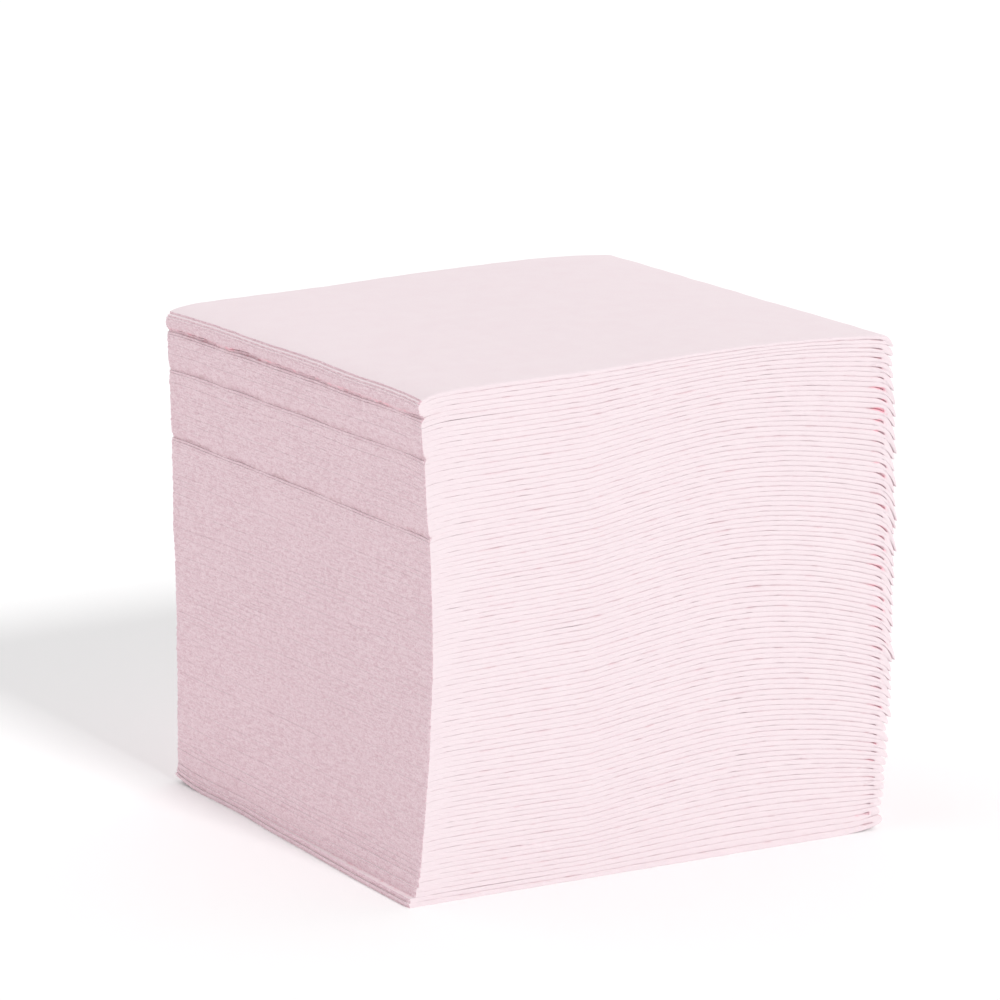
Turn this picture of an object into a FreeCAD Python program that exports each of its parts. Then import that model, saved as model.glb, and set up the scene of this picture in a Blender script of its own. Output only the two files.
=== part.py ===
"""A free-standing stack of square paper napkins, each folded twice into a quarter of its sheet.

Every napkin is one folded sheet. The first fold makes two leaves joined by a spine along the
near side (-Y). The second fold turns that pair back over itself at the +X side, so the near side
shows two spines per napkin, the +X side one rounded turn, and the other two sides the cut edges.
A section of the folded pair is swept along the line that the second fold gives it.

The napkins lie flat from the -X side up to a crease, rise to a crown and droop to the turned side.
The lowest one lies flat. The origin is on the surface below the stack, +Z is up.
"""
import FreeCAD, Part
import math
import os

import Sketcher

Vector = FreeCAD.Vector

# Driving dimensions in millimetres, degrees for the twist, and a number of napkins.
SIZES = (
    ("sheet_side", 254.0),  # the flat square sheet
    ("paper", 0.48),  # one leaf, as soft as it lies in the stack
    ("leaf_gap", 0.07),  # between the two leaves at their free edges
    ("turn_gap", 0.09),  # between the two halves of a folded napkin
    ("napkin_gap", 0.26),  # between one napkin and the next
    ("napkin_count", 50),
    ("crease_at", 43.0),  # from the cut side to the crease
    ("crease_rise", 1.4),  # the most that the crease stands above the cut side
    ("crown_at", 88.0),  # from the cut side to the crown
    ("crown_rise", 5.5),  # the most that the crown stands above the cut side
    ("tip_dip", 2.0),  # the most that the turned side hangs below the cut side
    ("lean", 1.4),  # how far the middle of the stack stands out beyond its ends
    ("twist", 0.95),  # the most that a napkin is turned about +Z
)

HALF_EDGE = "Sizes.sheet_side / 4"
PAIR = "(2 * Sizes.paper + Sizes.leaf_gap)"
TURN_RISE = f"({PAIR} + Sizes.turn_gap)"
PITCH = f"({TURN_RISE} + {PAIR} + Sizes.napkin_gap)"

# The turn and the spines are pressed in three flats, 45 degrees apart.
TURN_FLATS = 3
TURN_CORNER = math.radians(135)
EAVE = 0.2929  # the part of a fold's height that one slanting flat takes up
TURN_REACH = f"({PAIR} / 2 + {TURN_RISE} * {EAVE})"
LEVEL = "0"

# How the bulge and the lie of the napkins change up the stack, as angles over its full height.
SWELL_ANGLE = 140
SWELL_POWER = 0.8
DIP_ANGLE = 290
TWIST_ANGLE = 225
TWIST_START = 0.2
LEAN_CENTRE = 0.8


def make_sheet(doc):
    """The spreadsheet with one named cell for each driving dimension."""
    sheet = doc.addObject("Spreadsheet::Sheet", "Sizes")
    for row, (name, value) in enumerate(SIZES, start=1):
        sheet.set(f"A{row}", name)
        sheet.set(f"B{row}", str(value))
        sheet.setAlias(f"B{row}", name)
    doc.recompute()
    return sheet


def new_sketch(body, role, name):
    """An empty sketch on one of the body's own origin planes."""
    sketch = body.newObject("Sketcher::SketchObject", f"{body.Name}_{name}")
    plane = next(item for item in body.Origin.OriginFeatures if item.Role == role)
    sketch.AttachmentSupport = [(plane, "")]
    sketch.MapMode = "FlatFace"
    return sketch


def draw_lines(sketch, points, closed):
    """Straight lines through the points, joined end to end."""
    ends = points[1:] + points[:1] if closed else points[1:]
    for start, end in zip(points, ends):
        sketch.addGeometry(Part.LineSegment(start, end), False)
    count = len(ends)
    for line in range(count if closed else count - 1):
        sketch.addConstraint(Sketcher.Constraint("Coincident", line, 2, (line + 1) % count, 1))


def value_of(item, expression):
    """The plain number that an expression stands for."""
    value = item.evalExpression(expression)
    return getattr(value, "Value", value)


def drive(sketch, name, kind, *where, by):
    """A named dimension whose value follows an expression."""
    constraint = Sketcher.Constraint(kind, *where, value_of(sketch, by))
    sketch.renameConstraint(sketch.addConstraint(constraint), name)
    sketch.setExpression(f"Constraints.{name}", by)


def height_share(number):
    """How far up the stack a napkin lies, from 0 for the lowest to 1 for the top one."""
    return f"({number - 1} / (Sizes.napkin_count - 1))"


def draw_section(body):
    """The two leaves and their spine, seen along the second fold's line, in the Y-Z plane."""
    sketch = new_sketch(body, "YZ_Plane", "section")
    sketch.setExpression("AttachmentOffset.Base.z", f"-{HALF_EDGE}")
    half, pair, leaf = (value_of(sketch, size) for size in (HALF_EDGE, PAIR, "Sizes.paper"))
    near, far, flat = -half, half, pair * EAVE
    draw_lines(
        sketch,
        [
            Vector(far, 0),
            Vector(near + flat, 0),
            Vector(near, flat),
            Vector(near, pair - flat),
            Vector(near + flat, pair),
            Vector(far, pair),
            Vector(far, pair - leaf),
            Vector(near + leaf, pair / 2),
            Vector(far, leaf),
        ],
        closed=True,
    )
    under, flat_low, spine, flat_high, top, edge_high, inner_high, inner_low, edge_low = range(9)
    add = sketch.addConstraint
    for line in (under, top):
        add(Sketcher.Constraint("Horizontal", line))
    for line in (spine, edge_high, edge_low):
        add(Sketcher.Constraint("Vertical", line))
    add(Sketcher.Constraint("PointOnObject", under, 1, -1))
    add(Sketcher.Constraint("Vertical", inner_high, 1, inner_low, 2))
    add(Sketcher.Constraint("Equal", flat_low, flat_high))
    add(Sketcher.Constraint("Equal", edge_low, edge_high))
    add(Sketcher.Constraint("Vertical", flat_low, 1, flat_high, 2))
    drive(sketch, "far_edge", "DistanceX", -1, 1, under, 1, by=HALF_EDGE)
    drive(sketch, "near_edge", "DistanceX", spine, 1, -1, 1, by=HALF_EDGE)
    drive(sketch, "pair", "DistanceY", under, 1, top, 2, by=PAIR)
    drive(sketch, "leaf", "DistanceY", edge_low, 2, edge_low, 1, by="Sizes.paper")
    drive(sketch, "spine_wall", "DistanceX", spine, 1, inner_low, 1, by="Sizes.paper")
    drive(sketch, "fold_level", "DistanceY", under, 1, inner_low, 1, by=f"{PAIR} / 2")
    drive(sketch, "flat_height", "DistanceY", flat_low, 1, flat_low, 2, by=f"{PAIR} * {EAVE}")
    drive(sketch, "flat_depth", "DistanceX", flat_low, 2, flat_low, 1, by=f"{PAIR} * {EAVE}")
    return sketch


def bulge(number):
    """The crown's level above the cut side, and where the napkin bends: name, distance from the
    cut side, drop from the crown."""
    share = height_share(number)
    swell = f"sin({SWELL_ANGLE} * pow({share}; {SWELL_POWER}))"
    crown_level = f"Sizes.crown_rise * {swell}"
    crease_drop = f"((Sizes.crown_rise - Sizes.crease_rise) * {swell})"
    tip_drop = f"({crown_level} + Sizes.tip_dip * sin({DIP_ANGLE} * {share}))"
    tip_at = f"(2 * {HALF_EDGE} - {TURN_REACH})"
    droop = f"({tip_at} - Sizes.crown_at)"
    bends = [
        ("crease", "Sizes.crease_at", crease_drop),
        ("slope", "(Sizes.crease_at + Sizes.crown_at) / 2", f"{crease_drop} / 4"),
        ("crown", "Sizes.crown_at", "0"),
        ("bend", f"Sizes.crown_at + {droop} / 3", f"{tip_drop} / 9"),
        ("droop", f"Sizes.crown_at + {droop} * 2 / 3", f"{tip_drop} * 4 / 9"),
        ("tip", tip_at, tip_drop),
    ]
    return crown_level, bends


def turn_points(before, tip, rise):
    """The corners of the turn that starts at the tip: three equal flats, up to the run above."""
    along = (tip - before).normalize()
    across = Vector(-along.y, along.x)
    flat = rise * across.y / (1 + math.sqrt(2))
    first = tip + (along + across) * (flat / math.sqrt(2))
    return [tip, first, first + across * flat, tip + across * (rise * across.y)]


def draw_fold_line(body, number):
    """The line of the folded pair, seen from the near side: out to the turn, round it and back."""
    sketch = new_sketch(body, "XZ_Plane", "fold_line")
    crown_level, bends = bulge(number)
    if number == 1:
        bends = [("tip", bends[-1][1], LEVEL)]
    start = Vector(-value_of(sketch, HALF_EDGE), value_of(sketch, f"{PAIR} / 2"))
    crown = start.y + value_of(sketch, crown_level)
    rise = value_of(sketch, TURN_RISE)
    lower = [start]
    for _, distance, drop in bends:
        lower.append(Vector(start.x + value_of(sketch, distance), crown - value_of(sketch, drop)))
    upper = [point + Vector(0, rise) for point in lower[-2::-1]]
    draw_lines(sketch, lower[:-1] + turn_points(*lower[-2:], rise) + upper, closed=False)

    runs = len(bends)
    add = sketch.addConstraint
    drive(sketch, "cut_side", "DistanceX", 0, 1, -1, 1, by=HALF_EDGE)
    drive(sketch, "half_pair", "DistanceY", -1, 1, 0, 1, by=f"{PAIR} / 2")
    at_crown = [drop for _, _, drop in bends].index(LEVEL)
    for line, (name, distance, drop) in enumerate(bends):
        drive(sketch, f"{name}_at", "DistanceX", 0, 1, line, 2, by=distance)
        if number == 1:
            add(Sketcher.Constraint("Horizontal", line))
        elif line == at_crown:
            drive(sketch, "crown_level", "DistanceY", 0, 1, line, 2, by=crown_level)
        else:
            drive(sketch, f"{name}_drop", "DistanceY", line, 2, at_crown, 2, by=drop)
    for line in range(runs, runs + TURN_FLATS + 1):
        add(Sketcher.Constraint("Angle", line, 1, line - 1, 2, TURN_CORNER))
    for line in range(runs, runs + TURN_FLATS - 1):
        add(Sketcher.Constraint("Equal", line, line + 1))
    for line in range(runs):
        above = 2 * runs + TURN_FLATS - 1 - line
        add(Sketcher.Constraint("Vertical", line, 1, above, 2))
        drive(sketch, f"rise_{line}", "DistanceY", line, 1, above, 2, by=TURN_RISE)
    return sketch


def make_napkin(doc, number):
    """One folded napkin at its place in the stack."""
    body = doc.addObject("PartDesign::Body", f"napkin_{number:02d}")
    section = draw_section(body)
    fold_line = draw_fold_line(body, number)
    doc.recompute()
    fold = body.newObject("PartDesign::AdditivePipe", f"{body.Name}_fold")
    fold.Profile = (section, [""])
    fold.Spine = (fold_line, [])
    fold.Transition = "Right corner"
    body.Tip = fold

    share = height_share(number)
    lean = f"Sizes.lean * (sin(180 * {share}) - {LEAN_CENTRE})"
    body.Placement = FreeCAD.Placement(Vector(), FreeCAD.Rotation(Vector(0, 0, 1), 1))
    body.setExpression("Placement.Base.x", lean)
    body.setExpression("Placement.Base.z", f"{number - 1} * {PITCH}")
    twist = f"Sizes.twist * sin({TWIST_ANGLE} * ({share} - {TWIST_START}))"
    body.setExpression("Placement.Rotation.Angle", twist)
    return body


def check(doc, napkins):
    """Stops if anything in the document failed or a napkin isn't one good solid."""
    doc.recompute()
    for item in doc.Objects:
        if "Invalid" in item.State or "Error" in item.State:
            raise RuntimeError(f"{item.Name} failed: {item.State}")
    for napkin in napkins:
        shape = napkin.Shape
        if shape.isNull() or not shape.isValid() or len(shape.Solids) != 1 or shape.Volume <= 0:
            raise RuntimeError(f"{napkin.Label} is not one valid solid")


def main():
    doc = FreeCAD.newDocument("napkin_stack")
    sheet = make_sheet(doc)
    napkins = [make_napkin(doc, number) for number in range(1, int(sheet.napkin_count) + 1)]
    check(doc, napkins)
    os.makedirs("parts", exist_ok=True)
    for napkin in napkins:
        napkin.Shape.exportStep(f"parts/{napkin.Label}.step")
    height = max(napkin.Shape.BoundBox.ZMax for napkin in napkins)
    print(f"{len(napkins)} napkins, {height:.1f} mm high")


main()
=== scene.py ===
"""The looks of the stack of paper napkins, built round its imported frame.

Each napkin is one closed sheet, folded twice, that stands for its own node. The shapes are worked out
in millimetres: x runs from the cut side to the turned side, y from the spine side to the back, z up.
"""

import math

import bpy
import numpy as np
from mathutils import Matrix, Vector


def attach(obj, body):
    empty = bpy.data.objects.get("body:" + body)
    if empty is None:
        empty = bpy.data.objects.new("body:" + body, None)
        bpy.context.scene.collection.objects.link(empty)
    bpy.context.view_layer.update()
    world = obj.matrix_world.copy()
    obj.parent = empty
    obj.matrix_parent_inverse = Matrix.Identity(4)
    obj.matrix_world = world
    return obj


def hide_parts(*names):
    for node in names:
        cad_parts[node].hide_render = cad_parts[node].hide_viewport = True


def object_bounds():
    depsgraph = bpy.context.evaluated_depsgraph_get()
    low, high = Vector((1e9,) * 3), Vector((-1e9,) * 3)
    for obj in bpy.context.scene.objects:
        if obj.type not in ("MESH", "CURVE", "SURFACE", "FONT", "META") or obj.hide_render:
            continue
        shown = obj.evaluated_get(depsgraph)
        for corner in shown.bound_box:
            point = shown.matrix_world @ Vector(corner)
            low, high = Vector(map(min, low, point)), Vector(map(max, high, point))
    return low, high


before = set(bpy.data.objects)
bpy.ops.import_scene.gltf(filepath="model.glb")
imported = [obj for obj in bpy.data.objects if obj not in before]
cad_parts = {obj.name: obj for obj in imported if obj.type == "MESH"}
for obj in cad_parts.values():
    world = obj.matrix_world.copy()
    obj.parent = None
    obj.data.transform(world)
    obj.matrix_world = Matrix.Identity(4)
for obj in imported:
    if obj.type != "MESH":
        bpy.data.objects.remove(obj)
cad_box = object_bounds()

MM = 0.001
NODES = sorted(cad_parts)
COUNT = len(NODES)

# The sheet, and how the napkins lie on each other: the middle ones stand out along x, and all turn a
# little about z, both by a sine of the height
SHEET = 254.0
SIDE = SHEET / 2
HALF = SIDE / 2
LEAN = 1.4
LEAN_BASE = 0.8
TWIST = math.radians(0.95)
TWIST_ANGLE = math.radians(225)
TWIST_START = 0.2

# The layers rise from the cut side to a crease, then to a crown, and droop to the turned side. How
# far they do, in mm, changes up the stack: shares of its height, and the three amounts there
HEIGHTS = (0, 0.03, 0.10, 0.20, 0.35, 0.50, 0.80, 0.90, 0.96, 1.0)
TO_CREASE = (0, -0.1, -0.3, -0.3, 0.6, 1.3, 1.1, 1.0, 0.9, 0.7)
TO_CROWN = (0, 1.5, 3.3, 3.9, 4.0, 4.2, 4.2, 3.6, 2.7, 1.3)
TO_TIP = (0, 0.9, 3.4, 5.8, 7.2, 7.4, 5.2, 3.4, 2.4, 1.3)

# Where the crease and the crown lie, in mm from the cut side. The crown moves out near the top of the
# stack. Shares of the way between them, and the slope of the rise there
CREASE_AT = 43.0
CROWN_AT = 88.0
TOP_CROWN_AT = 98.0
CROWN_MOVES_FROM = 0.85
RISE_SHARES = (0, 0.06, 0.35, 0.70, 1.0)
RISE_SLOPES = (0.3, 1.0, 0.95, 0.65, 0.0)
RISE_STEPS = 200

# The height of one napkin at the cut side, with the crown of the top one at the CAD box's top
PITCH = (cad_box[1].z / MM - TO_CREASE[-1] - TO_CROWN[-1]) / COUNT

# At the turned side's edge the layers bend down further
FLICK_AT = 124.8
FLICK_RUN = 4.6
FLICK_SHARES = (0, 0.1, 0.4, 0.9, 1.0)
FLICK_DROPS = (0, 0.9, 1.5, 1.8, 1.1)
FLICK_POWER = 3

# The lowest napkins are lifted at two corners: at the spine end of the turned side, and at the back
# of the cut side. Each lift fades over a number of napkins and over a depth in mm
LIFT_AT = 116.0
LIFT_RUN = 10.0
LIFT = 1.5
LIFT_NAPKINS = 2.5
LIFT_DEPTH = 25.0
BACK_LIFT = 1.2
BACK_LIFT_RUN = 14.0
BACK_LIFT_NAPKINS = 3
BACK_LIFT_DEPTH = 8.0

# Both ends of the cut side dip, and so does a group of napkins near its spine end. The waves in the
# layers grow from the flat bottom up
CORNER_DIP = 0.9
CORNER_DIP_DEPTH = 7
BACK_CORNER_DIP = 0.5
BACK_CORNER_DIP_DEPTH = 9
DIP_FADE = 3.5
SAG_LEVEL = 36
SAG = 1.8
SAG_NAPKINS = 5
SAG_RUN = 45
SETTLE_NAPKINS = 5

# The space between napkins in mm, and half the slot between a pair's leaves as a share of the pair.
# Both are narrower at the cut side, and reach their usual size over a run in mm
NAPKIN_GAP = 0.03
CUT_GAP = 0.0005
LEAF_GAP = 0.035
CUT_LEAF_GAP = 0.0015
GAP_RUN = 7.0

# The spine in section, for a pair of leaves: the share of its thickness where the nose lies and where
# the leaves meet, and how far the slot's end and the rounds lie in from the nose, in mm
NOSE = 0.38
MIDDLE = 0.5
ROUND_THE_SPINE = (0.3, 0.7)
LEAF = 0.5
SLOT_ROUND = 0.25
LOW_ROUND = 0.12
HIGH_ROUND = 0.225
TOP_ROUND_AT_SPINE = 0.8
TOP_WAVES = (0.15, 8, 40)

# The round of the spine's corner at the cut side, and how the nose wanders in and out, in mm
CORNER_ROUND = 0.22
CORNER_SPREAD = 0.06
CORNER_RUN = 2.0
NOSE_WAVES = ((0.08, 9, 40), (0.10, 3, 9))
NOSE_RUN = 3
NOSE_CALM = 0.75
NOSE_CALM_RUN = 6.0

# The turned end in section: the share of the napkin's height where its tip lies, how far its rounds
# reach in from the tip, how far the tip stands out and the wall between tip and hollow, in mm. The
# high round and the tip change up the stack
TIP_SHARE = 0.30
TIP_BULGE = 0.85
TIP_LOW = 0.8
TIP_HIGHS = (1.3, 1.4, 1.8, 2.0, 2.2, 2.2)
TIP_SHARES = (0, 0.15, 0.3, 0.5, 0.7, 1.0)
TIP_OUTS = (1.0, 1.5, 2.4, 2.2, 3.2, 3.4)
TIP_SPREAD = 0.3
WALL_AT_TIP = 2.9
WALL_SPREAD = 0.25

# The hollow behind the wall: its size up the stack, the napkins with a size of their own, its run and
# turns in mm, and its openings and drop as shares of the napkin's height
HOLLOW_SHARES = (0, 0.2, 0.45, 0.75, 0.93, 1.0)
HOLLOW_SIZES = (0.4, 0.5, 0.85, 1.0, 1.0, 0.4)
WIDE_HOLLOWS = {2: 1.6, 10: 1.1, 37: 1.5, 43: 1.6}
HOLLOW_VARIES = (0.4, 1.35)
HOLLOW_RUNS = (2.0, 5.5)
HOLLOW_POWER = 1.7
HOLLOW_DROP = 0.10
HOLLOW_OPEN = 0.18
HOLLOW_END = 0.9
HOLLOW_CLOSED = 0.005
HOLLOW_TURN = 1.0
HOLLOW_BACK = 2.2
HOLLOW_DEPTH = 0.28

# How the lines in the spine side vary: their waves, least and most depth, and the share of it that
# they lose at the cut side. Some are deeper where they cross the crease
HIGH_WAVES = ((0.55, 3, 12), (0.28, 15, 60))
HIGH_LIMITS = (0.08, 0.75)
HIGH_LOSS = 0.85
LOW_WAVES = (0.6, 3, 14)
LOW_LIMITS = (0.02, 0.3)
LOW_LOSS = 0.75
LINES_FADE = 13.0
CREASE_DASH = 2.2
CREASE_DASH_RUN = 2.2
CREASE_DASH_SHARE = 0.55
CREASE_DASH_SPREAD = 0.2

# In a sum of waves: the spread of each phase's move with w, and the peak that is scaled to 1
PHASE_CLIMB = 0.25
WAVE_PEAK = 1.7


def ripple(seed, shortest, longest, terms=7):
    """A smooth seeded noise of about -1 to 1 over x and y in mm and a third coordinate w."""
    draw = np.random.default_rng(seed)
    length = shortest * (longest / shortest) ** draw.random(terms)
    angle = draw.random(terms) * 2 * math.pi
    climb = draw.normal(size=terms) * PHASE_CLIMB
    phase = draw.random(terms) * 2 * math.pi
    weight = np.sqrt(length)
    weight = weight / math.sqrt((weight ** 2).sum() / 2)

    def at(x, y, w=0.0):
        total = 0.0
        for n in range(terms):
            turn = 2 * math.pi * (x * math.cos(angle[n]) + y * math.sin(angle[n])) / length[n]
            total = total + weight[n] * np.sin(turn + climb[n] * w + phase[n])
        return total / WAVE_PEAK

    return at


def wander(draw, s, shortest, longest, terms=6):
    """A seeded noise of about -1 to 1 along one line, s in mm."""
    total = np.zeros_like(s)
    lengths = shortest * (longest / shortest) ** draw.random(terms)
    for length, phase in zip(lengths, draw.random(terms)):
        total += np.sin(2 * math.pi * (s / length + phase))
    return total / math.sqrt(terms / 2) / WAVE_PEAK


def waves(draw, s, *parts):
    """The sum of wanders along s. Each part has a size and its shortest and longest wave in mm."""
    return sum(size * wander(draw, s, shortest, longest) for size, shortest, longest in parts)


# The rise from the crease to the crown, and the waves in the levels between the napkins
SHARES = np.linspace(0, 1, RISE_STEPS + 1)
SLOPES = np.interp(SHARES, RISE_SHARES, RISE_SLOPES)
RISE = np.concatenate([[0], np.cumsum((SLOPES[1:] + SLOPES[:-1]) / 2)])
RISE = RISE / RISE[-1]
broad_wave = ripple(seed=11, shortest=45, longest=130)
BROAD_WAVE = 0.28
TOP_WAVE = 0.12
TOP_WAVE_FROM = 0.8
WAVE_CLIMB = 0.35
layer_waves = [ripple(seed=100 + k, shortest=16, longest=60, terms=5) for k in range(COUNT + 1)]
LAYER_WAVE = 0.07
fine_waves = [ripple(seed=300 + k, shortest=4.5, longest=12, terms=5) for k in range(COUNT + 1)]
FINE_WAVE = 0.045

# Places where two napkins stand apart at the spine side: level, place along, half length, height
OPENINGS = (
    (1, 14.0, 16.0, 0.14),
    (25, 40.0, 4.5, 0.16),
    (COUNT - 3, 8.0, 14.0, 0.09),
)
OPENING_DEPTH = 2.0

# Seams across the cut side: level, depth of the groove, how far the group above it stands proud,
# and half the height by which the napkins stand apart there
SEAMS = (
    (37, 0.65, 0.14, 0.004),
    (44, 0.60, 0.14, 0.004),
    (48, 1.10, 0.30, 0.070),
)
SEAM_WIDTH = 0.25
SEAM_FADE = 5.0
SEAM_DEPTH = 1.5
# The painted shade inside the seams: its share, and the depth in mm over which it fades
SEAM_SHADE = 0.65
SEAM_SHADE_DEPTH = 2

# How the gap and the groove of a seam vary along it: mean, wave, least and most, as shares
SEAM_GAP_VARIES = (0.8, 1.1, 0.05, 2)
SEAM_GROOVE_VARIES = (1, 0.7, 0.1, 2)
SEAM_GROOVE_SHIFT = 9
seam_wave = ripple(seed=31, shortest=5, longest=30)


def along_seam(y, w, mean, wave, least, most):
    """The share of its usual size that a seam has at each y."""
    return np.clip(mean + wave * seam_wave(np.zeros_like(y), y, w), least, most)


def level(k, x, y):
    """Height in mm of the surface between napkin k and the one above it."""
    along = x + HALF
    lift = LIFT * math.exp(-k / LIFT_NAPKINS) * (np.maximum(along - LIFT_AT, 0) / LIFT_RUN) ** 2
    lift = lift * np.exp(-np.maximum(y + HALF, 0) / LIFT_DEPTH)
    back = np.maximum(y - HALF + BACK_LIFT_RUN, 0) / BACK_LIFT_RUN
    back_lift = BACK_LIFT * math.exp(-k / BACK_LIFT_NAPKINS) * back ** 2
    lift = lift + back_lift * np.exp(-np.maximum(along, 0) / BACK_LIFT_DEPTH)
    if k == 0:
        return lift
    share = k / COUNT
    settled = 1 - math.exp(-k / SETTLE_NAPKINS)
    to_crease, to_crown, to_tip = (np.interp(share, HEIGHTS, law) for law in (TO_CREASE, TO_CROWN, TO_TIP))
    crown = CROWN_AT + (TOP_CROWN_AT - CROWN_AT) * max(0, share - CROWN_MOVES_FROM) / (1 - CROWN_MOVES_FROM)
    z = k * PITCH + to_crease * np.minimum(along / CREASE_AT, 1)
    z += to_crown * np.interp((along - CREASE_AT) / (crown - CREASE_AT), SHARES, RISE)
    z -= to_tip * (np.maximum(along - crown, 0) / (SIDE - crown)) ** 2
    flick = (np.maximum(along - FLICK_AT, 0) / FLICK_RUN) ** FLICK_POWER
    z -= np.interp(share, FLICK_SHARES, FLICK_DROPS) * flick
    wave = BROAD_WAVE + (TOP_WAVE - BROAD_WAVE) * max(0, share - TOP_WAVE_FROM) / (1 - TOP_WAVE_FROM)
    z += settled * wave * broad_wave(x, y, k * WAVE_CLIMB)
    z += settled * (LAYER_WAVE * layer_waves[k](x, y) + FINE_WAVE * fine_waves[k](x, y))
    near_cut = np.exp(-np.maximum(along, 0) / SAG_RUN)
    z -= SAG * math.exp(-((k - SAG_LEVEL) / SAG_NAPKINS) ** 2) * near_cut * (HALF - y) / SIDE
    at_cut = settled * np.exp(-np.maximum(along, 0) / DIP_FADE)
    z -= CORNER_DIP * at_cut * np.exp(-np.maximum(y + HALF, 0) / CORNER_DIP_DEPTH)
    z -= BACK_CORNER_DIP * at_cut * np.exp(-np.maximum(HALF - y, 0) / BACK_CORNER_DIP_DEPTH)
    return z + lift


def opening(k, x, y):
    """Half the height in mm by which the napkins on both sides of a level stand apart."""
    total = (NAPKIN_GAP - (NAPKIN_GAP - CUT_GAP) * np.exp(-np.maximum(x + HALF, 0) / GAP_RUN)) / 2
    for where, place, reach, height in OPENINGS:
        if where == k:
            along = (x + HALF - place) / reach
            total += height / 2 * np.exp(-along ** 2 - np.maximum(y + HALF, 0) / OPENING_DEPTH)
    for seam, _, _, apart in SEAMS:
        if seam == k:
            wave = along_seam(y, seam, *SEAM_GAP_VARIES)
            total += apart * wave * np.exp(-np.maximum(x + HALF, 0) / SEAM_DEPTH)
    return total


# Stations along a leaf's run and across its width, in mm: the places of the first few, counted from
# the cut edge, and the steps between the others. The top napkin has fine steps all over
EDGE_STEPS = (0.0, 0.35, 1.1, 2.8)
COARSE = 8.6
FINE = 2.1
TOP_FINE = 1.7


def spaced(start, end, step):
    """Evenly spaced places after start, up to and with end."""
    return list(np.linspace(start, end, max(1, round((end - start) / step)) + 1)[1:])


def run_stations(coarse, fine, last_steps):
    """Places along one run from its cut edge on, with a flag for those on the coarse grid."""
    places, kept = list(EDGE_STEPS), [True] * len(EDGE_STEPS)
    end = SIDE - sum(last_steps)
    for stop in spaced(EDGE_STEPS[-1], end, coarse):
        inner = spaced(places[-1], stop, fine)
        places += inner
        kept += [False] * (len(inner) - 1) + [True]
    for step in last_steps:
        places.append(places[-1] + step)
        kept.append(True)
    return np.array(places), np.array(kept)


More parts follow.
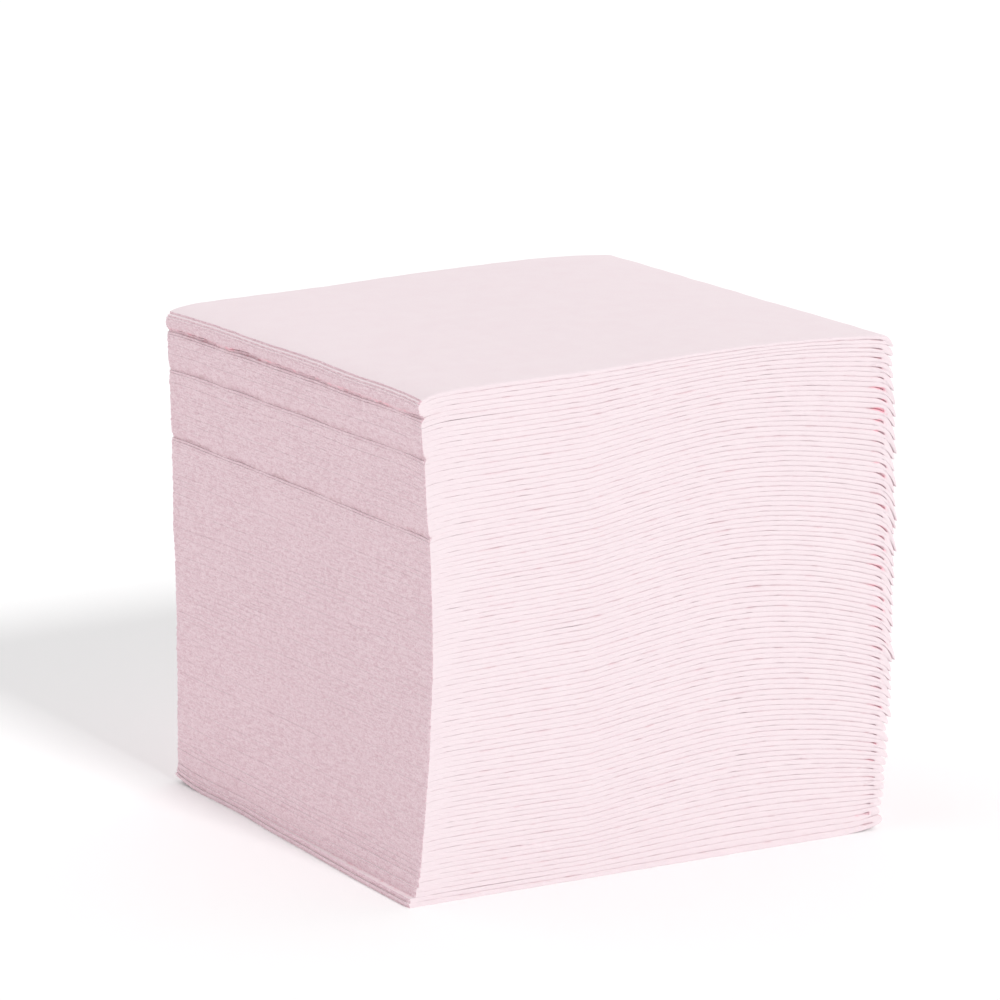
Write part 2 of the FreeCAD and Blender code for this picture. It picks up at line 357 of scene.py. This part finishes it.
class Grid:
    """The stations of a folded sheet, and the faces between them.

    i counts along the fold line: out along the lower run, round the turn and back. j counts across
    it: in along the outer leaf, round the spine and back along the inner leaf."""

    # The last steps in mm before the turn and the spine, and the steps round each quarter of them
    RUN_END = (4.2, 2.4, 1.5, 1.0)
    SPINE_END = (3.0, 1.6, 0.9, 0.5)
    LOW_TURN = 5
    HIGH_TURN = 7
    LOW_SPINE = 4
    HIGH_SPINE = 6

    # The length in mm that the turn counts for on the unrolled sheet
    TURN_RUN = 4

    def __init__(self, coarse, fine):
        run, run_kept = run_stations(coarse, fine, self.RUN_END)
        leaf, leaf_kept = run_stations(coarse, fine, self.SPINE_END)
        turn_count = self.LOW_TURN + self.HIGH_TURN - 1
        spine_count = self.LOW_SPINE + self.HIGH_SPINE - 1
        self.share = np.concatenate([run / SIDE, np.ones(turn_count), run[::-1] / SIDE])
        self.turn = self.angles(len(run), self.LOW_TURN, self.HIGH_TURN)
        self.depth = np.concatenate([leaf / SIDE, np.ones(spine_count), leaf[::-1] / SIDE])
        self.bend = self.angles(len(leaf), self.LOW_SPINE, self.HIGH_SPINE)
        round_turn = np.linspace(SIDE, SIDE + self.TURN_RUN, turn_count + 2)[1:-1]
        self.unrolled = np.concatenate([run, round_turn, 2 * SIDE + self.TURN_RUN - run[::-1]])
        turned = np.abs(self.turn) < math.pi / 2
        coarse_i = np.concatenate([run_kept, np.ones(turned.sum(), bool), run_kept[::-1]])
        spine = np.abs(self.bend) < math.pi / 2
        coarse_j = np.concatenate([leaf_kept, np.ones(spine.sum(), bool), leaf_kept[::-1]])
        full_j = spine.copy()
        full_j[:-1] |= spine[1:]
        full_j[1:] |= spine[:-1]
        full_i = np.zeros(len(coarse_i), bool)
        full_i[:len(EDGE_STEPS)] = full_i[-len(EDGE_STEPS):] = True
        self.exists = (coarse_i[:, None] & coarse_j[None, :]) | full_j[None, :] | full_i[:, None]
        self.count = int(self.exists.sum())
        self.number = np.full(self.exists.shape, -1)
        self.number[self.exists] = np.arange(self.count)
        rows, columns = np.nonzero(coarse_i)[0], np.nonzero(coarse_j)[0]
        self.faces, self.rims = self.connect(rows, columns, full_i, full_j)

    @staticmethod
    def angles(flat, low, high):
        """The bend at each station: -90 degrees before it, up to +90 degrees after it."""
        down = np.linspace(-math.pi / 2, 0, low + 1)[1:]
        up = np.linspace(0, math.pi / 2, high + 1)[1:-1]
        return np.concatenate([np.full(flat, -math.pi / 2), down, up, np.full(flat, math.pi / 2)])

    def walk(self, i0, i1, j0, j1):
        """The stations round one cell, those between its corners too where they are used."""
        path = [(i, j0) for i in range(i0, i1)] + [(i1, j) for j in range(j0, j1)]
        path += [(i, j1) for i in range(i1, i0, -1)] + [(i0, j) for j in range(j1, j0, -1)]
        return [int(self.number[i, j]) for i, j in path if self.number[i, j] >= 0]

    def connect(self, rows, columns, full_i, full_j):
        """The faces of both sides of the sheet, and those of its cut edge."""
        faces = []
        for i0, i1 in zip(rows[:-1], rows[1:]):
            for j0, j1 in zip(columns[:-1], columns[1:]):
                all_i = full_j[j0] and full_j[j1]
                all_j = full_i[i0] and full_i[i1]
                ends_i = list(range(i0, i1 + 1)) if all_i else [i0, i1]
                ends_j = list(range(j0, j1 + 1)) if all_j else [j0, j1]
                for a, b in zip(ends_i[:-1], ends_i[1:]):
                    for c, d in zip(ends_j[:-1], ends_j[1:]):
                        faces.append(self.walk(a, b, c, d))
        inside = [[n + self.count for n in reversed(face)] for face in faces]
        last_i, last_j = self.exists.shape[0] - 1, self.exists.shape[1] - 1
        around = self.walk(0, last_i, 0, last_j)
        rims = [
            [b, a, a + self.count, b + self.count]
            for a, b in zip(around, around[1:] + around[:1])
        ]
        return faces + inside, rims


def smooth(value, low, high):
    """0 below low, 1 above high, and an even curve between them."""
    share = np.clip((value - low) / (high - low), 0, 1)
    return share * share * (3 - 2 * share)


class TurnedEnd:
    """One napkin's section at the turned side: its tip, its wall and the hollow in it, in mm."""

    def __init__(self, draw, number, share, grid):
        out = np.interp(share, TIP_SHARES, TIP_OUTS) + TIP_SPREAD * draw.normal()
        wall = WALL_AT_TIP + WALL_SPREAD * draw.normal()
        size = np.interp(share, HOLLOW_SHARES, HOLLOW_SIZES) * draw.uniform(*HOLLOW_VARIES)
        size = WIDE_HOLLOWS.get(number, size)
        # The share of painted shade in the hollow
        self.painted_shade = HOLLOW_SHADE * min(1, HOLLOW_SHADE_LEAST + size)
        run = draw.uniform(*HOLLOW_RUNS)
        self.tip = HALF + out
        self.end = self.tip - wall
        self.low = grid.turn <= 0
        self.straight = np.abs(grid.turn) >= math.pi / 2
        self.share = grid.share
        self.swing = 1 - np.cos(grid.turn)
        self.outer_x = self.places(self.tip, TIP_LOW, np.interp(share, TIP_SHARES, TIP_HIGHS))
        rise = np.sin(grid.turn)
        high_rise = TIP_BULGE * rise + (1 - TIP_BULGE) * self.swing
        self.outer_h = np.where(self.low, TIP_SHARE * (1 + rise), TIP_SHARE + (1 - TIP_SHARE) * high_rise)
        self.inner_x = self.places(self.end, HOLLOW_TURN, HOLLOW_BACK)
        self.ramp = np.clip((self.inner_x - self.end + run) / run, 0, 1)
        into_end = np.clip((self.inner_x - self.end + HOLLOW_END) / HOLLOW_END, 0, 1)
        self.hollow = HOLLOW_OPEN * size * self.ramp ** HOLLOW_POWER * np.sqrt(1 - into_end ** 2)
        self.middle = MIDDLE - HOLLOW_DROP * self.ramp ** 2
        # Where the painted shade along the lines is deeper, in dashes
        self.dashes = np.clip(wander(draw, grid.unrolled, *DASH_WAVES) - DASH_FROM, 0, 1)

    def places(self, end, low_turn, high_turn):
        """Places along x of a surface that turns back at one end."""
        turn = np.where(self.low, low_turn, high_turn)
        return np.where(self.straight, -HALF + self.share * (end - turn + HALF), end - turn * self.swing)

    def inner_h(self, depth):
        """Shares of the height of the surface that faces the hollow, at depths from the spine."""
        closing = np.exp(-depth / HOLLOW_DEPTH)
        half = HOLLOW_CLOSED + self.hollow[:, None] * closing
        return self.middle[:, None] + np.where(self.low, -1, 1)[:, None] * half


def spine_rounds(draw, number, grid):
    """How far the spine's lower and upper rounds reach in from its nose, at each station."""
    s = grid.unrolled
    at_cut = np.exp(-grid.share * SIDE / LINES_FADE)
    along = grid.share * SIDE
    dash = CREASE_DASH * draw.random()
    dash = dash * np.exp(-((along - CREASE_AT - draw.normal()) / CREASE_DASH_RUN) ** 2)
    dash *= math.exp(-((number / COUNT - CREASE_DASH_SHARE) / CREASE_DASH_SPREAD) ** 2)
    deep = HIGH_ROUND * (1 + waves(draw, s, *HIGH_WAVES) + dash)
    deep = np.clip(deep, *HIGH_LIMITS) * (1 - HIGH_LOSS * at_cut)
    shallow = LOW_ROUND * (1 + waves(draw, s, LOW_WAVES))
    shallow = np.clip(shallow, *LOW_LIMITS) * (1 - LOW_LOSS * at_cut)
    if number == COUNT:
        top = TOP_ROUND_AT_SPINE * (1 + waves(draw, s, TOP_WAVES))
        shallow = np.where(grid.turn > 0, top, shallow)
    return shallow, deep


# The seeds of a napkin's unevenness and of its edges at the back, and how far in mm those stand in
NAPKIN_SEED = 5000
BACK_SEED = 9000
BACK_SPREAD = 0.10
BACK_WAVES = (0.10, 4, 20)
BACK_RUN = 4


def outer_section(grid, shallow, deep):
    """The outside of a folded pair of leaves. For each point this gives the share of the pair's
    thickness, where the flat leaf starts and how far the round has come in from the nose."""
    low = grid.bend <= 0
    rise = np.sin(grid.bend)
    start = np.where(low[None, :], shallow[:, None], deep[:, None])
    share = np.where(low, NOSE * (1 + rise), NOSE + (1 - NOSE) * rise)
    return np.broadcast_to(share, start.shape), start, start * (1 - np.cos(grid.bend))[None, :]


def slot_section(grid):
    """The same for the inside of the pair, round the slot between its leaves."""
    half_gap = LEAF_GAP - (LEAF_GAP - CUT_LEAF_GAP) * np.exp(-grid.share * SIDE / GAP_RUN)
    share = MIDDLE + half_gap[:, None] * np.sin(grid.bend)[None, :]
    across = np.full(share.shape, LEAF) + SLOT_ROUND * (1 - np.cos(grid.bend))[None, :]
    return share, LEAF + SLOT_ROUND, across


def on_the_stack(number, x, y, h):
    """Points of a napkin, leaned and turned as the stack is and laid between the levels round it."""
    height = (number - 1 + h - MIDDLE) / (COUNT - 1)
    yaw = TWIST * np.sin(TWIST_ANGLE * (height - TWIST_START))
    X = x * np.cos(yaw) - y * np.sin(yaw) + LEAN * (np.sin(math.pi * height) - LEAN_BASE)
    Y = x * np.sin(yaw) + y * np.cos(yaw)
    below = level(number - 1, X, Y)
    above = level(number, X, Y)
    if number > 1:
        below = below + opening(number - 1, X, Y)
    if number < COUNT:
        above = above - opening(number, X, Y)
    Z = below + h * (above - below) - edge_dip(number - 1 + h, x)
    return np.stack([X, Y, Z], -1)


def make_napkin(number, grid, materials):
    """One napkin, folded twice, between the levels below and above it."""
    draw = np.random.default_rng(NAPKIN_SEED + number)
    turned = TurnedEnd(draw, number, (number - 1) / (COUNT - 1), grid)
    nose = waves(draw, grid.unrolled, *NOSE_WAVES)
    nose *= 1 - NOSE_CALM * np.exp(-grid.share * SIDE / NOSE_CALM_RUN)
    rounds = spine_rounds(draw, number, grid)
    corner = CORNER_ROUND * (1 + CORNER_SPREAD * draw.normal())
    ends = CutEdges(draw, number)
    second = (grid.turn > 0)[:, None]
    flat = np.abs(grid.bend) >= math.pi / 2
    from_edge = np.minimum(grid.share[:, None], grid.depth[None, :]) * SIDE
    verts, fold_shades = [], []
    for outside in (True, False):
        share, start, across = outer_section(grid, *rounds) if outside else slot_section(grid)
        along_leaf = start + (1 - grid.depth)[None, :] * (SIDE - start)
        inward = np.where(flat[None, :], along_leaf, across)
        y = -HALF + nose[:, None] * np.exp(-along_leaf / NOSE_RUN) + inward
        x = (1 - share) * turned.outer_x[:, None] + share * turned.inner_x[:, None]
        h = (1 - share) * turned.outer_h[:, None] + share * turned.inner_h(along_leaf - start)
        from_nose = np.clip(inward / corner, 0, 1)
        cut_in = corner * (1 - from_nose) ** 2 * np.exp(-(x + HALF) / CORNER_RUN)
        inner = np.where(flat[None, :], share > MIDDLE, smooth(share, *ROUND_THE_SPINE))
        x = x + ends.at(second, inner, x, y) + cut_in
        y = y - back_edges(number, second, inner, x) * np.exp(-(HALF - y) / BACK_RUN)
        verts.append(on_the_stack(number, x, y, h)[grid.exists])
        # The share of painted shade at each point: outside by the folds, inside between the leaves, and in
        # the seams
        if outside:
            from_spine = along_leaf - start
            from_rim = np.minimum(from_edge, from_spine)
            painted_shade = fold_shade(number, second, share, x, from_rim, from_spine, turned)
        else:
            painted_shade = LEAF_SHADE * smooth(from_edge, 0, SHADE_RUN)
        fold_shades.append((painted_shade + ends.seam_shade(number - 1 + h, x))[grid.exists])
    napkin = mesh_object(f"folded_sheet_{number:02d}", np.concatenate(verts) * MM, grid, materials)
    shade = napkin.data.attributes.new(FOLD_SHADE_NAME, "FLOAT", "POINT")
    shade.data.foreach_set("value", np.clip(np.concatenate(fold_shades), 0, 1).astype(np.float32))
    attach(napkin, "root")
    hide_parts(NODES[number - 1])


# Painted shade: where light comes only from paper to paper, deep in the folds, the colour is painted a
# deeper pink. The share of that painted shade: deep between two leaves, at the lips of the lines in the
# spine side, and in the hollows, each with the distances in mm over which it grows or fades
FOLD_SHADE_NAME = "fold_shade"
LEAF_SHADE = 0.5
SHADE_RUN = 1.2
LINE_SHADE = 0.13
DASH_SHADE = 0.20
HOLLOW_SHADE = 0.56
HOLLOW_SHADE_LEAST = 0.25
HOLLOW_SHADE_RUN = 6.5
HOLLOW_SHADE_FULL = 2.0
HOLLOW_SHADE_DEPTH = 8.0
DASH_WAVES = (5, 30)
DASH_FROM = 0.45

# Where the painted shade of a line starts and is full: along x from the cut side in mm, and across the
# pair's thickness on the side of the slot and on the outer side
LINE_FROM_CUT = (0.8, 18)
SLOT_SIDE = (0.62, 0.95)
OUTER_SIDE = (-0.12, -0.01)


def fold_shade(number, second, share, x, from_rim, from_spine, turned):
    """Painted shade on the sheet's outside, 0 to 1, by how deep in the folds a point lies."""
    near_turn = smooth(x, turned.end - HOLLOW_SHADE_RUN, turned.end - HOLLOW_SHADE_FULL)
    near_turn = near_turn * np.exp(-from_spine / HOLLOW_SHADE_DEPTH)
    line = (LINE_SHADE + DASH_SHADE * turned.dashes[:, None]) * smooth(x + HALF, *LINE_FROM_CUT)
    inner = smooth(share, *SLOT_SIDE) * (line + (turned.painted_shade - line) * near_turn)
    free = (second & (number == COUNT)) | (~second & (number == 1))
    outer = smooth(-share, *OUTER_SIDE)
    deep = LEAF_SHADE * smooth(from_rim, 0, SHADE_RUN)
    return np.where(share > MIDDLE, inner + deep, np.where(free, 0, outer * (line + deep)))


# The top of the cut side, in mm: its round, and how far the top napkins' edges bend down
TOP_ROUND = 2.3
TOP_DIP = 0.95
DIP_RUN = 3.0
DIP_NAPKINS = 1.2

# How far each leaf's edge stands in from the plane of the cut, in mm. The loose napkins at the foot
# vary more, and stand out towards their spine
LEAVES = 4
LEAF_SPREAD = 0.018
LEAF_WAVES = (0.03, 2.5, 16)
LEAF_SEEDS = 10 ** 6
FOOT_SPREAD = 0.22
FOOT_SPREAD_NAPKINS = 1.5
FOOT_OUT = 2.3
FOOT_NAPKINS = 1.3
FOOT_TO = 0.4
EDGE_RUN = 5.0
SIDE_WAVE = 0.18
side_wave = ripple(seed=21, shortest=14, longest=60)


class CutEdges:
    """How one napkin's four leaves end at the cut side."""

    def __init__(self, draw, number):
        self.number = number
        spread = LEAF_SPREAD + FOOT_SPREAD * math.exp(-(number - 1) / FOOT_SPREAD_NAPKINS)
        self.base = draw.normal(size=LEAVES) * spread
        self.seeds = draw.integers(1, LEAF_SEEDS, LEAVES)
        self.foot = -FOOT_OUT * math.exp(-(number - 1) / FOOT_NAPKINS)

    def leaf(self, n, y):
        """How far leaf n, counted from the lowest, stands in."""
        height = self.number - 1 + (n + 0.5) / LEAVES
        total = self.base[n] + waves(np.random.default_rng(self.seeds[n]), y, LEAF_WAVES)
        under = max(0.0, TOP_ROUND - (COUNT - height) * PITCH)
        total = total + TOP_ROUND - math.sqrt(TOP_ROUND ** 2 - under ** 2)
        for seam, groove, proud, _ in SEAMS:
            above = height - seam
            wave = along_seam(y, seam + SEAM_GROOVE_SHIFT, *SEAM_GROOVE_VARIES)
            total = total + groove * wave * math.exp(-abs(above) / SEAM_WIDTH)
            if above > 0:
                total = total - proud * math.exp(-above / SEAM_FADE)
        return total

    def at(self, second, inner, x, y):
        """The shift along x of points near the cut side. The lower run's outer leaf is the lowest."""
        lower = (1 - inner) * self.leaf(0, y) + inner * self.leaf(1, y)
        upper = (1 - inner) * self.leaf(3, y) + inner * self.leaf(2, y)
        shift = np.where(second, upper, lower)
        shift = shift + SIDE_WAVE * side_wave(y, np.full_like(y, self.number * PITCH))
        shift = shift + self.foot * np.clip((HALF * FOOT_TO - y) / HALF, 0, 1)
        return shift * np.exp(-np.maximum(x + HALF, 0) / EDGE_RUN)

    @staticmethod
    def seam_shade(height, x):
        """Painted shade: the deeper pink inside the seams."""
        total = 0
        for seam, groove, _, _ in SEAMS:
            total = total + groove * np.exp(-np.abs(height - seam) / SEAM_WIDTH)
        return SEAM_SHADE * total * np.exp(-np.maximum(x + HALF, 0) / SEAM_SHADE_DEPTH)


def back_edges(number, second, inner, x):
    """How far each leaf's cut edge stands in from the back, in mm."""
    draw = np.random.default_rng(BACK_SEED + number)
    base = draw.normal(size=LEAVES) * BACK_SPREAD
    lower = (1 - inner) * base[0] + inner * base[1]
    upper = (1 - inner) * base[3] + inner * base[2]
    return np.where(second, upper, lower) + waves(draw, x, BACK_WAVES)


def edge_dip(height, x):
    """How far the top napkins' cut edges bend down."""
    from_top = np.maximum(COUNT - height, 0) / DIP_NAPKINS
    return TOP_DIP * np.exp(-from_top) * np.exp(-(x + HALF) / DIP_RUN)


# Edges that bend by more than this are shaded as sharp
SHARP_FROM = math.radians(30)


def mesh_object(name, verts, grid, materials):
    """A smooth mesh object from points and a grid's faces. The cut edge has the second material."""
    faces = grid.faces + grid.rims
    mesh = bpy.data.meshes.new(name)
    mesh.from_pydata(verts.tolist(), [], faces)
    for material in materials:
        mesh.materials.append(material)
    slots = np.zeros(len(faces), np.int32)
    slots[len(grid.faces):] = 1
    mesh.polygons.foreach_set("material_index", slots)
    mesh.polygons.foreach_set("use_smooth", np.ones(len(faces), bool))
    mesh.update()
    mesh.set_sharp_from_angle(angle=SHARP_FROM)
    napkin = bpy.data.objects.new(name, mesh)
    bpy.context.scene.collection.objects.link(napkin)
    return napkin


# The paper's colours: its face; painted shade deep in its folds and in the lines between them, a pink
# where light passes from paper to paper and a greyer pink in the lines; and its cut edge, whose
# deeper pink is partly the cut fibres' own and partly painted shade of the light among them
PAPER = (0.828, 0.721, 0.749)
PAPER_DEEP = (0.808, 0.684, 0.718)
SHADE_PINK = (0.965, 0.590, 0.655)
LINE_SHADE_COLOUR = (0.735, 0.535, 0.570)
SHADE_COLOUR_RANGE = (0.30, 0.50)
EDGE_PALE = (0.965, 0.775, 0.825)
EDGE_DEEP = (0.750, 0.498, 0.560)

# The noises in the papers, with their scale in features a metre. For each one that colours the
# paper, the range of it over which the colour changes; for each bump, its strength and height in m
MOTTLE = dict(scale=160, detail=3)
MOTTLE_RANGE = (0.35, 0.75)
FIBRE = dict(scale=1500, detail=6, roughness=0.7, distortion=0.8)
FIBRE_RANGE = (0.35, 0.70)
FIBRE_BUMP = (0.45, 0.00006)
PEBBLE = dict(scale=520, detail=3, roughness=0.5)
PEBBLE_BUMP = (0.35, 0.00012)
STREAK = dict(scale=1300, detail=5, roughness=0.7, distortion=0.6)
STREAK_STRETCH = (0.45, 0.45, 1.6)
STREAK_RANGE = (0.40, 0.56)
STREAK_BUMP = (0.6, 0.0002)
FUZZ = dict(scale=2500, detail=5, roughness=0.75, distortion=1.0)
FUZZ_RANGE = (0.42, 0.54)
FUZZ_BUMP = (0.5, 0.0001)
PAPER_ROUGH = (0.88, 1.0)
EDGE_ROUGH = (0.92, 1.0)
SPECULAR = 0.12
SHEEN = 0.08
SHEEN_ROUGH = 0.6

# The painted shade comes in dashes: the range of their noise, and by how much it multiplies the share
# of painted shade
DASHES = dict(scale=520, detail=2)
DASHES_STRETCH = (0.4, 1, 1)
DASHES_RANGE = (0.53, 0.68)
DASHES_FACTOR = (0.40, 3.20)

# The colour sockets of a Mix node, which share their names with its other sockets
MIX_FIRST, MIX_SECOND, MIX_RESULT = 6, 7, 2

# The share of each colour in an even mix
EVEN = 0.5


class Shader:
    """A new material's nodes, with short calls for what the two papers share."""

    def __init__(self, name):
        self.material = bpy.data.materials.new(name)
        self.material.use_nodes = True
        self.tree = self.material.node_tree
        self.surface = self.tree.nodes["Principled BSDF"]
        self.place = self.add("ShaderNodeTexCoord").outputs["Object"]

    def add(self, kind, **values):
        node = self.tree.nodes.new(kind)
        for key, value in values.items():
            setattr(node, key, value)
        return node

    def link(self, source, target):
        self.tree.links.new(source, target)

    def stretched(self, scale):
        """The place on the object, scaled along each axis."""
        node = self.add("ShaderNodeMapping")
        node.inputs["Scale"].default_value = scale
        self.link(self.place, node.inputs["Vector"])
        return node.outputs["Vector"]

    def noise(self, place, scale, detail, roughness=0.55, distortion=0.0):
        node = self.add("ShaderNodeTexNoise")
        node.inputs["Scale"].default_value = scale
        node.inputs["Detail"].default_value = detail
        node.inputs["Roughness"].default_value = roughness
        node.inputs["Distortion"].default_value = distortion
        self.link(place, node.inputs["Vector"])
        return node.outputs["Fac"]

    def blend(self, factor, first, second, low, high):
        """From one colour to the other as the factor goes from low to high."""
        ramp = self.add("ShaderNodeValToRGB")
        ramp.color_ramp.elements[0].position = low
        ramp.color_ramp.elements[0].color = (*first, 1)
        ramp.color_ramp.elements[1].position = high
        ramp.color_ramp.elements[1].color = (*second, 1)
        self.link(factor, ramp.inputs["Fac"])
        return ramp.outputs["Color"]

    def mix(self, factor, first, second):
        node = self.add("ShaderNodeMix", data_type="RGBA")
        node.inputs["Factor"].default_value = factor
        self.link(first, node.inputs[MIX_FIRST])
        self.link(second, node.inputs[MIX_SECOND])
        return node.outputs[MIX_RESULT]

    def painted_shade(self, colour):
        """The colour with painted shade, deeper in dashes where the sheet is tucked in."""
        where = self.add("ShaderNodeAttribute", attribute_name=FOLD_SHADE_NAME)
        dashes = self.noise(self.stretched(DASHES_STRETCH), **DASHES)
        broken = self.add("ShaderNodeMapRange")
        broken.inputs["From Min"].default_value = DASHES_RANGE[0]
        broken.inputs["From Max"].default_value = DASHES_RANGE[1]
        broken.inputs["To Min"].default_value = DASHES_FACTOR[0]
        broken.inputs["To Max"].default_value = DASHES_FACTOR[1]
        self.link(dashes, broken.inputs["Value"])
        share = self.add("ShaderNodeMath", operation="MULTIPLY", use_clamp=True)
        self.link(where.outputs["Fac"], share.inputs[0])
        self.link(broken.outputs["Result"], share.inputs[1])
        node = self.add("ShaderNodeMix", data_type="RGBA")
        self.link(share.outputs["Value"], node.inputs["Factor"])
        self.link(colour, node.inputs[MIX_FIRST])
        shade_colour = self.blend(where.outputs["Fac"], LINE_SHADE_COLOUR, SHADE_PINK, *SHADE_COLOUR_RANGE)
        self.link(shade_colour, node.inputs[MIX_SECOND])
        return node.outputs[MIX_RESULT]

    def bump(self, height, strength, distance, before=None):
        node = self.add("ShaderNodeBump")
        node.inputs["Strength"].default_value = strength
        node.inputs["Distance"].default_value = distance
        self.link(height, node.inputs["Height"])
        if before is not None:
            self.link(before, node.inputs["Normal"])
        return node.outputs["Normal"]

    def rough(self, factor, low, high):
        node = self.add("ShaderNodeMapRange")
        node.inputs["To Min"].default_value = low
        node.inputs["To Max"].default_value = high
        self.link(factor, node.inputs["Value"])
        self.link(node.outputs["Result"], self.surface.inputs["Roughness"])


def paper_material():
    """Pale pink airlaid paper: soft mottling, fibres and a faintly pebbled surface."""
    paper = Shader("airlaid_paper")
    mottle = paper.noise(paper.place, **MOTTLE)
    fibre = paper.noise(paper.place, **FIBRE)
    pebble = paper.noise(paper.place, **PEBBLE)
    soft = paper.blend(mottle, PAPER, PAPER_DEEP, *MOTTLE_RANGE)
    fine = paper.blend(fibre, PAPER, PAPER_DEEP, *FIBRE_RANGE)
    paper.link(paper.painted_shade(paper.mix(EVEN, soft, fine)), paper.surface.inputs["Base Color"])
    paper.rough(fibre, *PAPER_ROUGH)
    normal = paper.bump(pebble, *PEBBLE_BUMP)
    normal = paper.bump(fibre, *FIBRE_BUMP, normal)
    paper.link(normal, paper.surface.inputs["Normal"])
    finish(paper)
    return paper.material


def edge_material():
    """The cut edge of the same paper, with torn fibres drawn out along the cut. Its deeper pink is
    partly the fibres' own colour and partly painted shade of the light among them.
    """
    edge = Shader("cut_paper_edge")
    streak = edge.noise(edge.stretched(STREAK_STRETCH), **STREAK)
    fuzz = edge.noise(edge.place, **FUZZ)
    drawn = edge.blend(streak, EDGE_DEEP, EDGE_PALE, *STREAK_RANGE)
    fine = edge.blend(fuzz, EDGE_DEEP, EDGE_PALE, *FUZZ_RANGE)
    edge.link(edge.painted_shade(edge.mix(EVEN, drawn, fine)), edge.surface.inputs["Base Color"])
    edge.rough(fuzz, *EDGE_ROUGH)
    normal = edge.bump(streak, *STREAK_BUMP)
    normal = edge.bump(fuzz, *FUZZ_BUMP, normal)
    edge.link(normal, edge.surface.inputs["Normal"])
    finish(edge)
    return edge.material


def finish(shader):
    """What both papers share: hardly any gloss, and a little sheen."""
    shader.surface.inputs["Specular IOR Level"].default_value = SPECULAR
    shader.surface.inputs["Sheen Weight"].default_value = SHEEN
    shader.surface.inputs["Sheen Roughness"].default_value = SHEEN_ROUGH


# The photograph's view, in metres. The focal length is a share of the sensor's width
CAMERA_AZIMUTH = math.radians(-29.98)
CAMERA_ELEVATION = math.radians(12.64)
CAMERA_ROLL = math.radians(-0.38)
CAMERA_DISTANCE = 1.376
CAMERA_AIM = Vector((0, 0, 0.060))
CAMERA_RIGHT = -0.0059
CAMERA_UP = 0.0169
FOCAL_SHARE = 5.605
SENSOR = 36.0
CLIP = (0.1, 50)


def add_camera():
    """The camera at the photograph's place, with its angle of view."""
    around, above = CAMERA_AZIMUTH, CAMERA_ELEVATION
    back = Vector((
        math.sin(around) * math.cos(above),
        -math.cos(around) * math.cos(above),
        math.sin(above)))
    right = (-back).cross(Vector((0, 0, 1))).normalized()
    up = right.cross(-back)
    rolled = right * math.cos(CAMERA_ROLL) + up * math.sin(CAMERA_ROLL)
    upright = up * math.cos(CAMERA_ROLL) - right * math.sin(CAMERA_ROLL)
    place = CAMERA_AIM + rolled * CAMERA_RIGHT + upright * CAMERA_UP + back * CAMERA_DISTANCE
    data = bpy.data.cameras.new("camera")
    data.sensor_width = SENSOR
    data.lens = SENSOR * FOCAL_SHARE
    data.clip_start, data.clip_end = CLIP
    camera = bpy.data.objects.new("camera", data)
    camera.matrix_world = Matrix((rolled, upright, back)).transposed().to_4x4()
    camera.location = place
    bpy.context.scene.collection.objects.link(camera)
    bpy.context.scene.camera = camera


# The light all round and how it leans, the key's place in the sky, and the floor in metres
WORLD_LIGHT = 0.845
WORLD_LEAN = (0.20, 0.6, -0.15)
KEY_AZIMUTH = math.radians(3.5)
KEY_ELEVATION = math.radians(34)
KEY_SIZE = math.radians(10)
KEY_POWER = 1.72
FLOOR_SIZE = 30.0
FLOOR_COLOUR = (0.995, 0.995, 0.995)


def add_light():
    """A soft key from the front and pale light all round, brighter from the back."""
    scene = bpy.context.scene
    scene.view_settings.view_transform = "Standard"
    world = bpy.data.worlds.new("studio")
    world.use_nodes = True
    sky = world.node_tree.nodes["Background"]
    sky.inputs["Color"].default_value = (1, 1, 1, 1)
    towards = world.node_tree.nodes.new("ShaderNodeTexCoord")
    lean = world.node_tree.nodes.new("ShaderNodeVectorMath")
    lean.operation = "DOT_PRODUCT"
    lean.inputs[1].default_value = WORLD_LEAN
    strength = world.node_tree.nodes.new("ShaderNodeMath")
    strength.operation = "MULTIPLY_ADD"
    strength.inputs[1].default_value = WORLD_LIGHT
    strength.inputs[2].default_value = WORLD_LIGHT
    world.node_tree.links.new(towards.outputs["Generated"], lean.inputs[0])
    world.node_tree.links.new(lean.outputs["Value"], strength.inputs[0])
    world.node_tree.links.new(strength.outputs["Value"], sky.inputs["Strength"])
    scene.world = world
    data = bpy.data.lights.new("key", "SUN")
    data.energy = KEY_POWER
    data.angle = KEY_SIZE
    key = bpy.data.objects.new("key", data)
    towards = Vector((
        math.sin(KEY_AZIMUTH) * math.cos(KEY_ELEVATION),
        -math.cos(KEY_AZIMUTH) * math.cos(KEY_ELEVATION),
        math.sin(KEY_ELEVATION)))
    key.rotation_euler = towards.to_track_quat("Z", "Y").to_euler()
    scene.collection.objects.link(key)


def add_floor():
    """A plain white floor under the stack."""
    material = bpy.data.materials.new("floor")
    material.use_nodes = True
    surface = material.node_tree.nodes["Principled BSDF"]
    surface.inputs["Base Color"].default_value = (*FLOOR_COLOUR, 1)
    surface.inputs["Roughness"].default_value = 1.0
    surface.inputs["Specular IOR Level"].default_value = 0.0
    reach = FLOOR_SIZE / 2
    mesh = bpy.data.meshes.new("floor")
    corners = [(-reach, -reach, 0), (reach, -reach, 0), (reach, reach, 0), (-reach, reach, 0)]
    mesh.from_pydata(corners, [], [(0, 1, 2, 3)])
    mesh.materials.append(material)
    floor = bpy.data.objects.new("floor", mesh)
    bpy.context.scene.collection.objects.link(floor)


def build_stack():
    """All the napkins. The top one has the finer grid."""
    materials = (paper_material(), edge_material())
    grid = Grid(COARSE, FINE)
    top_grid = Grid(TOP_FINE, TOP_FINE)
    for number in range(1, COUNT):
        make_napkin(number, grid, materials)
    make_napkin(COUNT, top_grid, materials)


build_stack()
add_floor()
add_light()
add_camera()
